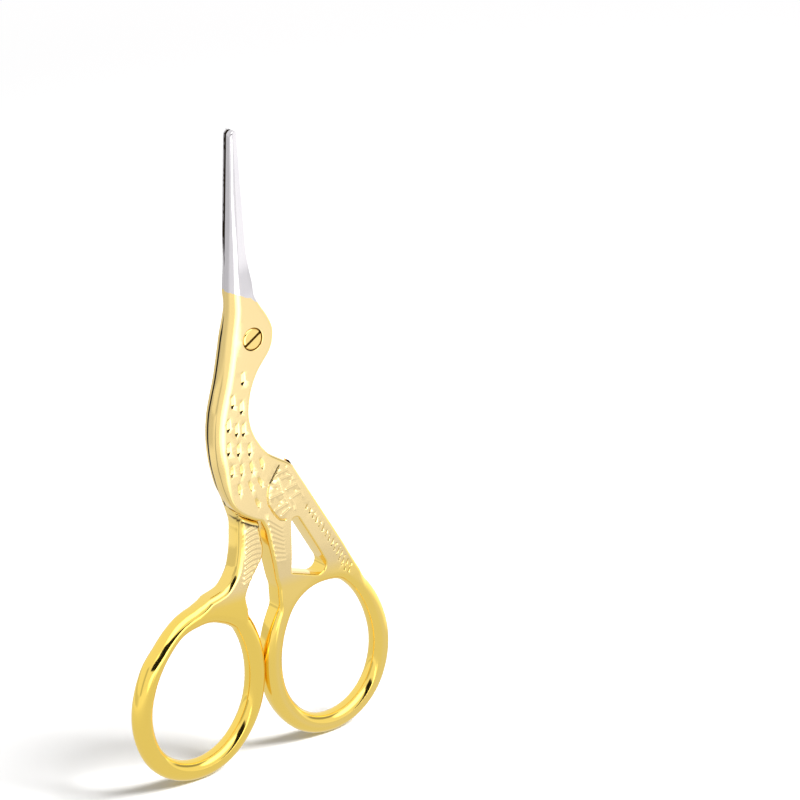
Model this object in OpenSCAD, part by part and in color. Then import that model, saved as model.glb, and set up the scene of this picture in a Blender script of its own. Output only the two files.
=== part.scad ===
// Stork embroidery scissors, closed, in millimetres.
// They stand upright: Z runs from the finger rings up to the tip of the beak, X runs across the two rings,
// and Y is the thickness, with the front face towards -Y.
// The origin is on the ground line, midway between the rings, in the plane where the two halves slide.
// Outlines are written as [x, z]. They run anticlockwise as seen from the front.

/* [Finger rings] */
// Diameter of the round rim
rim_d = 3; // [2.6:0.1:3.4]
// Half the width of a ring, to the middle of its rim
ring_half_w = 9.65; // [9.3:0.05:10.5]
// Height of a ring below its widest line, to the middle of its rim
ring_low_h = 11; // [10:0.1:12.5]
// Radius of a ring's lower end
ring_low_r = 9; // [7.5:0.1:9.1]
// Height of a ring above its widest line, to the middle of its rim
ring_high_h = 13.3; // [12:0.1:15]
// Radius of a ring's upper end
ring_high_r = 7.6; // [6.5:0.1:8.5]
// How far each ring leans towards the other one, in degrees
ring_tilt = 11.4; // [6:0.2:14]
// Gap between the two rings when the scissors are closed
ring_gap = 0.04; // [0.02:0.02:0.4]

/* [Stork] */
// Length of the legs, from the top of the rings to the notch under the belly
leg_l = 9.95; // [9:0.1:13]
// Length of the body, from the notch under the belly to the narrowest part of the neck
body_l = 16.6; // [15:0.1:20]
// Length of the neck, from its narrowest part to the eye
neck_l = 10.75; // [9.5:0.1:14]
// Length of the beak, from the eye to the tip
beak_l = 29.55; // [25:0.05:36]
// How far the eye lies left of the middle between the rings
eye_left = 1.3; // [0.8:0.1:1.8]
// How far the beak's middle lies left of the eye
beak_left = 1.4; // [1.2:0.1:1.7]
// Width of the closed blades where they leave the head
beak_base_w = 3.9; // [3.6:0.1:4.2]
// Width of the closed blades at the tip
beak_tip_w = 1.3; // [0.9:0.1:1.8]
// How far the rear half's neck stays inside the front half's on the left
neck_step = 0.5; // [0.2:0.1:0.7]

/* [Thickness] */
// Thickness of both layers together
body_t = 3.8; // [3.4:0.1:4.4]
// Radius of a blade's rounded spine
spine_r = 0.8; // [0.4:0.1:1]
// How far the leg plates lie inside the rings' own thickness, on each side
leg_inset = 0.06; // [0.04:0.02:0.2]
// Thickness of one blade's spine at the tip
tip_t = 1; // [0.7:0.1:1.3]
// Thickness of one blade along its cutting edge
cut_t = 0.4; // [0.3:0.05:0.6]
// Running gap between the two halves
slide_gap = 0.05; // [0.02:0.01:0.1]
// Gap between the faces that stop the halves when they close
stop_gap = 0.12; // [0.08:0.01:0.2]

/* [Cut-out between leg and tail] */
// How far the cut-out's upright edge lies right of the middle between the rings
cut_left_x = 4.4; // [4.2:0.1:4.8]
// Width of the cut-out along its sharp lower corner
cut_w = 7.8; // [7:0.1:8]
// Height of the cut-out, before its corners are rounded
cut_h = 10.5; // [9:0.1:10.6]
// Radius of the cut-out's top corner
cut_top_r = 0.75; // [0.5:0.05:0.9]
// Radius of the cut-out's corner at the foot of the tail
cut_foot_r = 1.3; // [0.9:0.1:1.5]

/* [Eye screw] */
// Diameter of the screw's shank
shank_d = 1.8; // [1.4:0.1:2.2]
// Radial clearance of the shank in the front half
shank_clear = 0.03; // [0.02:0.01:0.06]
// Diameter of the screw's head
screw_head_d = 3.25; // [2.9:0.05:3.6]
// Thickness of the screw's head
screw_head_t = 0.8; // [0.6:0.05:1]
// Radial gap round the head in its recess
head_gap = 0.1; // [0.06:0.02:0.16]
// Gap under the head
seat_gap = 0.02; // [0.01:0.01:0.05]
// Width of the driver slot
slot_w = 0.45; // [0.3:0.05:0.6]
// Depth of the driver slot
slot_depth = 0.4; // [0.2:0.05:0.5]
// Direction of the driver slot, in degrees from the X axis
slot_angle = 47; // [0:1:90]

/* [Hidden] */

gold = [0.93, 0.78, 0.45];
steel = [0.78, 0.77, 0.78];
$fn = 64;
half_t = body_t / 2;
face_gap = slide_gap / 2;
rim_r = rim_d / 2;

// A quarter of the rim's middle line is two tangent arcs: a long side arc and a short end arc.
function side_r(h, r) = (ring_half_w^2 + (h - r)^2 - r^2) / (2 * (ring_half_w - r));
function join_angle(h, r) = atan2(h - r, side_r(h, r) - ring_half_w);

// Point of an upright ring whose outward normal has angle a, moved outwards by off
function oval(a, off) =
    let (up = sin(a) >= 0, h = up ? ring_high_h : ring_low_h, r = up ? ring_high_r : ring_low_r,
         on_side = asin(abs(sin(a))) < join_angle(h, r),
         c = on_side ? [sign(cos(a)) * (ring_half_w - side_r(h, r)), 0] : [0, (up ? 1 : -1) * (h - r)])
    c + ((on_side ? side_r(h, r) : r) + off) * [cos(a), sin(a)];
function turned(p, a) = [p[0] * cos(a) - p[1] * sin(a), p[0] * sin(a) + p[1] * cos(a)];
function leaning(a, off) = turned(oval(a - ring_tilt, off), ring_tilt);

ring_c = [ring_gap / 2 - leaning(180, rim_r)[0], -leaning(270, rim_r)[1]];
// Point of the right ring whose outward normal has angle a, and the left ring's, which is its mirror image
function ring_at(a, off = 0) = ring_c + leaning(a, off);
function left_ring_at(a, off = 0) = [-ring_at(a, off)[0], ring_at(a, off)[1]];

ring_top = ring_at(90, rim_r)[1];
belly_z = ring_top + leg_l;
neck_z = belly_z + body_l;
eye_z = neck_z + neck_l;
tip_z = eye_z + beak_l;
eye_x = -eye_left;
beak_x = eye_x - beak_left;
// The blades are bare steel from here up
plating_z = eye_z + 0.22 * beak_l;

// A stretch of outline between two heights. Each point is [x from the eye, share of the height].
function stretch(z0, z1, points) = [for (p = points) [eye_x + p[0], z0 + p[1] * (z1 - z0)]];
// Smooth curve through points, with n steps for each. It leaves out the last point, where the next one starts.
function between(a, b, c, d, t) =
    (2 * b + (c - a) * t + (2 * a - 5 * b + 4 * c - d) * t^2 + (3 * b - a - 3 * c + d) * t^3) / 2;
function curve(p, n = 2) = [for (i = [0:len(p) - 2], k = [0:n - 1])
    between(p[max(i - 1, 0)], p[i], p[i + 1], p[min(i + 2, len(p) - 1)], k / n)];
function moved(points, step) = [for (p = points) p + step];

// Half of the closed blades' width at height z, between the head and the tip
function beak_half_w(z) = let (s = (z - plating_z) / (tip_z - plating_z))
    (beak_base_w + (beak_tip_w - beak_base_w) * s) / 2;
beak_left_foot = [beak_x - beak_half_w(plating_z), plating_z];
beak_right_foot = [beak_x + beak_half_w(plating_z), plating_z];

// The left edge, from the blades down to the notch under the belly
brow = concat([beak_left_foot], stretch(eye_z, plating_z, [[-3.42, 0.65], [-3.72, 0.35], [-4.02, 0.08]]));
throat = stretch(neck_z, eye_z, [[-4.42, 0.82], [-5.15, 0.5], [-5.9, 0.25], [-6.5, 0.02]]);
chest = stretch(belly_z, neck_z, [[-6.78, 0.82], [-6.55, 0.62], [-6.1, 0.49], [-5.5, 0.36], [-4.65, 0.245],
    [-3.45, 0.15], [-2.1, 0.085], [-0.6, 0.03]]);
notch = [eye_x + 0.55, belly_z];

// The right edge, from the tail up to the blades
back = stretch(belly_z, neck_z, [[7.25, 0.34], [6.35, 0.425], [5.5, 0.47], [3.9, 0.53], [2.4, 0.59], [1.4, 0.655],
    [0.6, 0.725], [-0.1, 0.8], [-0.65, 0.9]]);
nape = stretch(neck_z, eye_z, [[-0.85, 0.0], [-0.65, 0.19], [-0.1, 0.37], [0.8, 0.535], [1.9, 0.665], [2.8, 0.765],
    [3.4, 0.885]]);
crown = stretch(eye_z, plating_z, [[3.6, 0.06], [3.35, 0.24], [2.67, 0.45], [1.75, 0.66], [1.05, 0.84]]);

// The right leg's left edge, and where the leg and the tail run into their ring
leg_foot_angle = 128;
tail_foot_angle = 24;
leg_left = concat([notch], stretch(ring_top, belly_z, [[1.4, 0.82], [1.85, 0.6], [2.45, 0.3], [3.05, 0.02]]),
    [ring_at(leg_foot_angle, -rim_r / 2)]);
ring_roof = [for (a = [leg_foot_angle:-(leg_foot_angle - tail_foot_angle) / 8:tail_foot_angle]) ring_at(a)];
tail_foot = ring_at(tail_foot_angle, rim_r * 0.8);

// Where the front half becomes full thickness: its step runs from the back down to the notch
step_line = stretch(belly_z, neck_z, [[2.2, 0.59], [1.95, 0.5], [2.1, 0.36], [1.95, 0.2], [1.35, 0.08]]);

// The rear half's left leg, down its left edge and up its right edge
left_leg_down = stretch(ring_top, belly_z, [[-3.15, 1.08], [-3.13, 0.9], [-3.25, 0.66], [-3.57, 0.47], [-3.9, 0.35],
    [-4.6, 0.235], [-5.65, 0.125], [-6.85, 0.08]]);
left_leg_up = stretch(ring_top, belly_z, [[-2.95, -0.14], [-2.8, -0.05], [-2.15, 0.065], [-1.4, 0.195], [-0.6, 0.325],
    [0.15, 0.445], [0.65, 0.58], [0.6, 0.71], [0.25, 0.87]]);
left_ring_roof = [for (a = [66:9:147]) left_ring_at(a)];
// Its top end, which meets the belly when the scissors close, from the notch to the left
leg_top = moved([notch, for (i = [len(chest) - 1:-1:5]) chest[i]], -stop_gap * [0.6, 0.8]);
// The rear half's neck and back stay inside the front half's
rear_throat = moved(concat(throat, [for (i = [0:4]) chest[i]]), [neck_step, 0]);
rear_back = moved([for (i = [5:8]) back[i]], -neck_step * [0.6, 0.3]);
rear_nape = moved(nape, [-neck_step * 0.6, 0]);

front_outline = concat(curve(concat(brow, throat, chest, [notch])), curve(leg_left), ring_roof,
    curve(concat([tail_foot], back, nape, crown, [beak_right_foot])), [beak_right_foot]);
front_thick_outline = concat(curve(leg_left), ring_roof,
    curve(concat([tail_foot], [for (i = [0:4]) back[i]])), step_line);
rear_step = concat([leg_top[0]], moved([for (i = [4:-1:0]) step_line[i]], [-stop_gap, 0]));
rear_outline = concat(curve(concat(brow, rear_throat, left_leg_down)), left_ring_roof,
    curve(concat(left_leg_up, [leg_top[0]])), curve(rear_step),
    curve(concat([rear_step[5]], rear_back, rear_nape, crown, [beak_right_foot])), [beak_right_foot]);
rear_thick_outline = concat(curve(left_leg_down), left_ring_roof, curve(left_leg_up), leg_top);

// A flat plate with this outline, between depths y0 and y1
module plate(outline, y0, y1) {
    translate([0, max(y0, y1), 0]) rotate([90, 0, 0]) linear_extrude(abs(y1 - y0)) polygon(outline);
}

// Two triangles between neighbouring loops for each pair of their points. n is the number of points in a loop.
function band(k, next, n) = [for (i = [0:n - 1]) let (j = (i + 1) % n)
    each [[k * n + i, k * n + j, next * n + j], [k * n + i, next * n + j, next * n + i]]];

// The rim of the right ring: a round bar carried along the ring's middle line
rim_steps = 56;
rim_sides = 16;
module rim() {
    sections = [for (i = [0:rim_steps - 1]) [for (k = [0:rim_sides - 1])
        let (b = -360 * k / rim_sides, p = ring_at(360 * i / rim_steps, rim_r * cos(b))) [p[0], rim_r * sin(b), p[1]]]];
    polyhedron([for (loop = sections) each loop],
        [for (i = [0:rim_steps - 1]) each band(i, (i + 1) % rim_steps, rim_sides)]);
}

// The cut-out: a triangle with rounded corners. Each corner is [x, z, radius].
cut_foot_z = ring_top + 0.06 * leg_l;
cut_corners = [[cut_left_x, cut_foot_z, 0.3], [cut_left_x + cut_w, cut_foot_z - 0.35 * cut_w, cut_foot_r],
    [cut_left_x, cut_foot_z + cut_h, cut_top_r]];
function rounded(corners) = let (n = len(corners)) [for (i = [0:n - 1])
    let (p = [corners[i][0], corners[i][1]], r = corners[i][2],
         a = [corners[(i + n - 1) % n][0], corners[(i + n - 1) % n][1]] - p,
         b = [corners[(i + 1) % n][0], corners[(i + 1) % n][1]] - p,
         u = a / norm(a), v = b / norm(b), half = acos(u * v) / 2,
         c = p + (u + v) / norm(u + v) * r / sin(half),
         start = atan2(-v[0], v[1]), turn = 180 - 2 * half)
    for (k = [0:6]) c + r * [cos(start - turn * (1 - k / 6)), sin(start - turn * (1 - k / 6))]];
module cut_out() {
    translate([0, body_t, 0]) rotate([90, 0, 0]) linear_extrude(2 * body_t) polygon(rounded(cut_corners));
}

// One blade. The spine is thick and rounded, and the face slopes to the cutting edge.
// A section is a closed loop at height z, and left_spine says on which side its spine lies.
blade_steps = 6;
tip_r = beak_tip_w / 2;
function narrowing(z) = let (past = max(0, z - tip_z + tip_r) / tip_r) max(0.3, sqrt(max(0, 1 - past^2)));
function blade_section(z, left_spine) =
    let (s = (z - plating_z) / (tip_z - plating_z), w = beak_half_w(z) * narrowing(z),
         spine_t = half_t + (tip_t - half_t) * s, edge_t = max(cut_t, (half_t - spine_r) * (1 - 4 * s)),
         r = min(spine_r, w / 3) * min(1, 0.1 + 6 * s),
         half = concat([[-w, -face_gap]], [for (a = [0:30:90]) [r * (1 - cos(a)) - w, r * (1 - sin(a)) - spine_t]],
             [[0, -spine_t], [w, -edge_t], [w, -face_gap]]))
    [for (p = half) [beak_x + (left_spine ? p[0] : -p[0]), p[1], z]];
module blade(left_spine) {
    heights = concat([for (i = [0:blade_steps]) plating_z + i / blade_steps * (tip_z - tip_r - plating_z)],
        [for (share = [0.5, 0.15, 0]) tip_z - share * tip_r]);
    sections = [for (z = heights) blade_section(z, left_spine)];
    n = len(sections[0]);
    last = len(sections) - 1;
    faces = concat([for (k = [0:last - 1]) each band(k, k + 1, n)],
        [[for (i = [n - 1:-1:0]) i], [for (i = [0:n - 1]) last * n + i]]);
    polyhedron([for (loop = sections) each loop],
        left_spine ? [for (f = faces) [for (i = [len(f) - 1:-1:0]) f[i]]] : faces);
}

// A round hole or pin along Y on the eye's axis, between depths y0 and y1
module on_eye(d, y0, y1) {
    translate([eye_x, y1, eye_z]) rotate([90, 0, 0]) cylinder(d = d, h = y1 - y0);
}

module front_half() {
    difference() {
        union() {
            color(gold) {
                difference() {
                    union() {
                        plate(front_outline, -face_gap, -half_t);
                        plate(front_thick_outline, -face_gap, rim_r - leg_inset);
                    }
                    cut_out();
                }
                rim();
            }
            color(steel) blade(true);
        }
        color(gold) {
            on_eye(shank_d + 2 * shank_clear, -body_t, body_t);
            on_eye(screw_head_d + 2 * head_gap, -body_t, screw_head_t + seat_gap - half_t);
        }
    }
}

module rear_half() {
    difference() {
        union() {
            color(gold) {
                plate(rear_outline, face_gap, half_t);
                plate(rear_thick_outline, face_gap, leg_inset - rim_r);
                mirror([1, 0, 0]) rim();
            }
            color(steel) mirror([0, 1, 0]) blade(false);
        }
        color(gold) on_eye(shank_d, -body_t, body_t);
    }
}

module pivot_screw() {
    color(gold) difference() {
        union() {
            on_eye(screw_head_d, -half_t, screw_head_t - half_t);
            on_eye(shank_d, screw_head_t - half_t, half_t);
        }
        translate([eye_x, -half_t, eye_z]) rotate([0, -slot_angle, 0])
            cube([2 * screw_head_d, 2 * slot_depth, slot_w], center = true);
    }
}

front_half();
rear_half();
pivot_screw();
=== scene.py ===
"""Stork embroidery scissors: two gold plated steel halves and their eye screw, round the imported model."""

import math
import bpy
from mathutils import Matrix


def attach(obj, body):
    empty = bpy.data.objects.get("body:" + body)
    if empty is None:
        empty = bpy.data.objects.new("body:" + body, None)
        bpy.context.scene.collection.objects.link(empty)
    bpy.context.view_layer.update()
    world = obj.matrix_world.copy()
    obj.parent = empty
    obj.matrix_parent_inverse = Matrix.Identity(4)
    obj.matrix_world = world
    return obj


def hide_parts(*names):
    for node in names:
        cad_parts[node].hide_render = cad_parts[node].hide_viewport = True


bl_info = {
    "name": "Stork Embroidery Scissors",
    "version": (1, 0, 0),
    "blender": (4, 5, 0),
    "location": "View3D > Sidebar > Stork",
    "description": "Models the two halves of a pair of stork scissors and their screw",
    "category": "Add Mesh",
}

from types import SimpleNamespace

import bmesh
import bpy
import numpy as np
from bpy.props import FloatProperty, FloatVectorProperty, PointerProperty
from mathutils import Matrix, Vector
from mathutils.geometry import delaunay_2d_cdt

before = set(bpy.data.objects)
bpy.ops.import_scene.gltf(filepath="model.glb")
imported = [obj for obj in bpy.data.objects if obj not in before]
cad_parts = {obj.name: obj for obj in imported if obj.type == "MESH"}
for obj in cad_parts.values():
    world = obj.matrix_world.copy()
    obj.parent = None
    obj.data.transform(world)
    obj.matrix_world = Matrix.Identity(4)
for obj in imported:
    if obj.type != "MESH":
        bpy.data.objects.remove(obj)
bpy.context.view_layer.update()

MM = 0.001
FRONT, REAR = -1, 1
# Spacing, in mm, of points along an outline, of coarse points in a face and of fine ones round a mark
OUTLINE_STEP = 0.34
FACE_STEP = 1.1
MARK_STEP = 0.11
# Angles, in degrees, at which a rounded edge has a row of points
EDGE_ANGLES = (10, 20, 30, 35, 38, 41, 50, 60, 70, 80, 90)
WELD = 1e-6
# Columns of an outline's points that hold the radius of its outer and of its inner edge
OUTER, INNER = 2, 3
# Radius beside a cutting edge, in mm
CUT_EDGE_R = 0.15
# Where a blade's ridge runs, as a share of the blade's width from its spine. In mm, how far beside it a row
# of points lies, and how far off it the other points stay
RIDGE_SHARE = 0.36
RIDGE_ROW = 0.13
RIDGE_CLEAR = 0.27
# In mm, how far past a rounded edge its last row of points lies, how deep a row may lie, and how far past
# the edge the points in the face begin
PAST_EDGE = 0.12
DEEPEST_ROW = 1.75
FACE_CLEAR = 0.17
# Width of the painted seam shadow down the rear half's neck, and over how much a painted line fades, in mm
DARK_LINE = 0.33
PAINT_FADE = 0.03
# Depth of the tail's hatch, in line depths
HATCH_DEPTH = 1.5


def length(name, description, default):
    """A length property, given in millimetres and kept in metres."""
    return FloatProperty(name=name, description=description, default=default * MM, unit="LENGTH",
                         precision=5)


def angle_size(name, description, default):
    """An angle property, given in degrees and kept in radians."""
    return FloatProperty(name=name, description=description, default=math.radians(default), subtype="ANGLE")


def share_size(name, description, default):
    """A property between 0 and 1."""
    return FloatProperty(name=name, description=description, default=default, min=0.0, max=1.0)


class StorkSizes(bpy.types.PropertyGroup):
    """Sizes of the scissors"""

    rim_d: length("Rim", "Diameter of the rings' round rim", 3.0)
    ring_half_w: length("Ring half width", "Half the width of a ring, to the middle of its rim", 9.65)
    ring_low_h: length("Ring below", "Height of a ring below its widest line", 11.0)
    ring_low_r: length("Ring lower radius", "Radius of a ring's lower end", 9.0)
    ring_high_h: length("Ring above", "Height of a ring above its widest line", 13.3)
    ring_high_r: length("Ring upper radius", "Radius of a ring's upper end", 7.6)
    ring_tilt: angle_size("Ring lean", "How far each ring leans towards the other one", 11.4)
    ring_gap: length("Ring gap", "Gap between the two rings", 0.04)
    leg_l: length("Legs", "Length from the top of the rings to the notch under the belly", 9.95)
    body_l: length("Body", "Length from the notch to the narrowest part of the neck", 16.6)
    neck_l: length("Neck", "Length from the narrowest part of the neck to the eye", 10.75)
    beak_l: length("Beak", "Length from the eye to the tip", 29.55)
    eye_left: length("Eye", "How far the eye lies left of the middle", 1.3)
    beak_left: length("Beak's middle", "How far the beak's middle lies left of the eye", 1.4)
    beak_base_w: length("Beak's root", "Width of the closed blades where they leave the head", 3.9)
    beak_tip_w: length("Beak's tip", "Width of the closed blades at the tip", 1.3)
    neck_step: length("Neck step", "How far the rear half's neck stays inside the front half's", 0.5)
    body_t: length("Thickness", "Thickness of both layers together", 3.8)
    tip_t: length("Tip thickness", "Thickness of one blade's spine at the tip", 1.0)
    cut_t: length("Cutting edge", "Thickness of one blade along its cutting edge", 0.4)
    slide_gap: length("Running gap", "Gap between the two halves", 0.05)
    stop_gap: length("Stop gap", "Gap between the faces that stop the halves when they close", 0.12)
    cut_left_x: length("Cut-out's edge", "How far the cut-out's upright edge lies right of the middle", 4.4)
    cut_w: length("Cut-out's width", "Width of the cut-out along its sharp lower corner", 7.8)
    cut_h: length("Cut-out's height", "Height of the cut-out, before its corners are rounded", 10.5)
    cut_top_r: length("Cut-out's top radius", "Radius of the cut-out's top corner", 0.75)
    cut_foot_r: length("Cut-out's foot radius", "Radius of the corner at the foot of the tail", 1.3)
    shank_d: length("Shank", "Diameter of the screw's shank", 1.8)
    shank_clear: length("Shank clearance", "Radial clearance of the shank in the front half", 0.03)
    screw_head_d: length("Screw head", "Diameter of the screw's head", 3.12)
    screw_head_t: length("Head thickness", "Thickness of the screw's head", 0.8)
    head_gap: length("Head gap", "Radial gap round the head in its recess", 0.08)
    slot_w: length("Slot width", "Width of the driver slot", 0.34)
    slot_depth: length("Slot depth", "Depth of the driver slot", 0.4)
    slot_angle: angle_size("Slot direction", "Direction of the driver slot from the X axis", 32)
    left_web: length("Left web", "How much thicker the left ring's rim is under its leg", 0.55)
    soft_r: length("Soft edges", "Radius of the edges along the left side of head, neck and leg", 1.6)
    # The dark of the seam is painted shade at the chamfer's foot
    seam_t: length("Seam", "Chamfer of the halves' inner edges, which shows as a dark seam", 0.17)
    edge_r: length("Edges", "Radius of the other edges of the body, legs and tail", 0.5)
    ledge_r: length("Ledge radius", "Radius of the edge along the top of the left leg", 0.6)
    spine_r: length("Spine radius", "Radius of a blade's rounded spine at its root", 1.45)
    mark_depth: length("Feather depth", "Greatest depth of the chiselled feather marks", 0.24)
    line_depth: length("Line depth", "Height or depth of the fine ornament", 0.09)


def colour(name, description, default):
    """A colour property."""
    return FloatVectorProperty(name=name, description=description, default=default, subtype="COLOR", size=3,
                               min=0.0, max=1.0)


class StorkFinish(bpy.types.PropertyGroup):
    """Colours and finish of the scissors"""

    mirror_gold: colour("Mirror gold", "Polished plating on the rings and side walls", (0.95, 0.69, 0.14))
    face_gold: colour("Face gold", "Paler, softer plating on the flat faces", (0.9, 0.715, 0.37))
    steel: colour("Steel", "Bare steel of the blades", (0.72, 0.70, 0.71))
    mirror_roughness: share_size("Mirror roughness", "Roughness of the polished plating", 0.06)
    face_roughness: share_size("Face roughness", "Roughness of the flat faces", 0.15)


def shape():
    """The sizes in millimetres, with the heights that follow from them."""
    props = bpy.context.scene.stork_sizes
    names = [p.identifier for p in props.bl_rna.properties if p.identifier not in ("rna_type", "name")]
    angles = ("ring_tilt", "slot_angle")
    z = SimpleNamespace(**{n: getattr(props, n) / (1 if n in angles else MM) for n in names})
    z.half_t = z.body_t / 2
    z.face_gap = z.slide_gap / 2
    z.rim_r = z.rim_d / 2
    z.ring_c = np.zeros(2)
    z.ring_c = np.array([z.ring_gap / 2 - ring(180, z.rim_r, z)[0], -ring(270, z.rim_r, z)[1]])
    z.ring_top = ring(90, z.rim_r, z)[1]
    z.belly_z = z.ring_top + z.leg_l
    z.neck_z = z.belly_z + z.body_l
    z.eye_z = z.neck_z + z.neck_l
    z.tip_z = z.eye_z + z.beak_l
    z.eye_x = -z.eye_left
    z.beak_x = z.eye_x - z.beak_left
    z.plating_z = z.eye_z + 0.22 * z.beak_l
    z.notch = np.array([z.eye_x + 0.55, z.belly_z])
    return z


def smooth(a, b, x):
    """0 below a, 1 above b, and an even S between them."""
    t = np.clip((x - a) / (b - a), 0, 1)
    return t * t * (3 - 2 * t)


def unit(vector):
    """The vector divided by its length."""
    return vector / np.linalg.norm(vector)


def distances(points, others):
    """Distance from each point to each of the others, sqrt(dx^2 + dz^2), as a table."""
    return np.hypot(*(points[:, None, :2] - others[None, :, :2]).transpose(2, 0, 1))


# Outlines


def ring(angle, off, z, side=1):
    """Points [x, z] of a ring whose outward normal has this angle in degrees, moved outwards by off. Each
    quarter is a long side arc and a short end arc, tangent to each other, so with half width w, end height
    h and end radius e the side radius is (w^2 + (h - e)^2 - e^2) / (2 (w - e)). The oval is then leaned.
    side -1 gives the left ring, the mirror image of the right one."""
    angle = np.asarray(angle, float)
    a = np.radians(angle if side > 0 else 180 - angle) - z.ring_tilt
    up = np.sin(a) >= 0
    high = np.where(up, z.ring_high_h, z.ring_low_h)
    end_r = np.where(up, z.ring_high_r, z.ring_low_r)
    side_r = (z.ring_half_w**2 + (high - end_r) ** 2 - end_r**2) / (2 * (z.ring_half_w - end_r))
    on_side = np.arcsin(np.abs(np.sin(a))) < np.arctan2(high - end_r, side_r - z.ring_half_w)
    centre_x = np.where(on_side, np.sign(np.cos(a)) * (z.ring_half_w - side_r), 0)
    centre_z = np.where(on_side, 0, np.where(up, 1, -1) * (high - end_r))
    radius = np.where(on_side, side_r, end_r) + off
    x, y = centre_x + radius * np.cos(a), centre_z + radius * np.sin(a)
    c, s = math.cos(z.ring_tilt), math.sin(z.ring_tilt)
    return np.stack([side * (z.ring_c[0] + x * c - y * s), z.ring_c[1] + x * s + y * c], -1)


def stretch(z0, z1, points, z):
    """Points [x from the eye, share of the height between z0 and z1] in millimetres."""
    p = np.array(points, float)
    return np.stack([z.eye_x + p[:, 0], z0 + p[:, 1] * (z1 - z0)], -1)


def flow(*parts, n=16):
    """Catmull-Rom curve through all the points of the parts, with n steps between neighbours."""
    p = np.vstack([np.atleast_2d(part) for part in parts])
    q = np.vstack([p[:1], p, p[-1:]])
    a, b, c, d = (q[i : len(q) - 3 + i, None] for i in range(4))
    t = (np.arange(n) / n)[None, :, None]
    curve = (2 * b + (c - a) * t + (2 * a - 5 * b + 4 * c - d) * t**2 + (3 * b - a - 3 * c + d) * t**3) / 2
    return np.vstack([curve.reshape(-1, 2), p[-1:]])


def lengths_along(p):
    """Distance from the start of a polyline to each of its points."""
    return np.r_[0, np.cumsum(np.hypot(*np.diff(p[:, :2], axis=0).T))]


def between(p, start, end, step):
    """The stretch of a polyline between two distances along it, as evenly spaced points."""
    along = lengths_along(p)
    end = along[-1] - end
    t = np.linspace(start, end, max(2, int(round((end - start) / step)) + 1))
    return np.stack([np.interp(t, along, column) for column in p.T], -1)


def closed_loop(parts, reaches, step):
    """Joins curves end to start into one closed loop. Each corner is cut off at its reach and replaced by a
    parabola that is tangent to both curves. reaches[i] is the corner between part i and the next one."""
    out = []
    for i, part in enumerate(parts):
        following = parts[(i + 1) % len(parts)]
        reach = reaches[i]
        middle = between(part, reaches[i - 1], reach, step)
        corner = (part[-1] + following[0]) / 2
        landing = between(following, reach, 0, step)[0]
        n = max(2, int(round(2 * reach / step * 1.6)))
        t = np.linspace(0, 1, n + 1)[1:-1, None]
        out += [middle, (1 - t) ** 2 * middle[-1] + 2 * t * (1 - t) * corner + t**2 * landing]
    loop = np.vstack(out)
    apart = np.hypot(*(loop - np.roll(loop, 1, axis=0))[:, :2].T)
    return loop[apart > 0.2 * step]


def turned_to(loop, anticlockwise):
    """The loop in the wanted direction, so that the metal lies on its left."""
    x, y = loop[:, 0], loop[:, 1]
    area = np.sum(x * np.roll(y, -1) - y * np.roll(x, -1))
    return loop if (area > 0) == anticlockwise else loop[::-1]


def outside_ring(curve, z, side):
    """The start of a curve, up to where it runs into a ring's rim, and the angle of the rim there."""
    fine = between(curve, 0, 0, 0.02)
    angles = np.linspace(0, 360, 1441)
    middle = ring(angles, 0, z, side)
    apart = distances(fine, middle)
    inside = np.nonzero(apart.min(1) < z.rim_r)[0]
    last = inside[0] if len(inside) else len(fine) - 1
    return fine[: last + 1], angles[apart[last].argmin()]


def beak_half_w(height, z):
    """Half the width of the closed blades at this height, rounded off at the tip."""
    share = (height - z.plating_z) / (z.tip_z - z.plating_z)
    tip_r = z.beak_tip_w / 2
    past = np.clip((height - z.tip_z + tip_r) / tip_r, 0, 1)
    width = z.beak_base_w + (z.beak_tip_w - z.beak_base_w) * share
    return width / 2 * np.maximum(0.3, np.sqrt(1 - past**2))


def beak_edge(side, z):
    """One long edge of the beak, from the plating line up to the tip."""
    tip_r = z.beak_tip_w / 2
    at_tip = z.tip_z - tip_r * np.array([0.65, 0.35, 0.15, 0.05, 0])
    height = np.r_[np.linspace(z.plating_z, z.tip_z - tip_r, 14), at_tip]
    return np.stack([z.beak_x + side * beak_half_w(height, z), height], -1)


def edged(points, outer, inner):
    """Points [x, z] with the radii of the rounded edges on the outer and on the inner side beside them.
    Each radius is a number or a function of the points."""
    columns = [radius(points) if callable(radius) else np.broadcast_to(radius, len(points))
               for radius in (outer, inner)]
    return np.column_stack([points, *columns])


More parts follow.
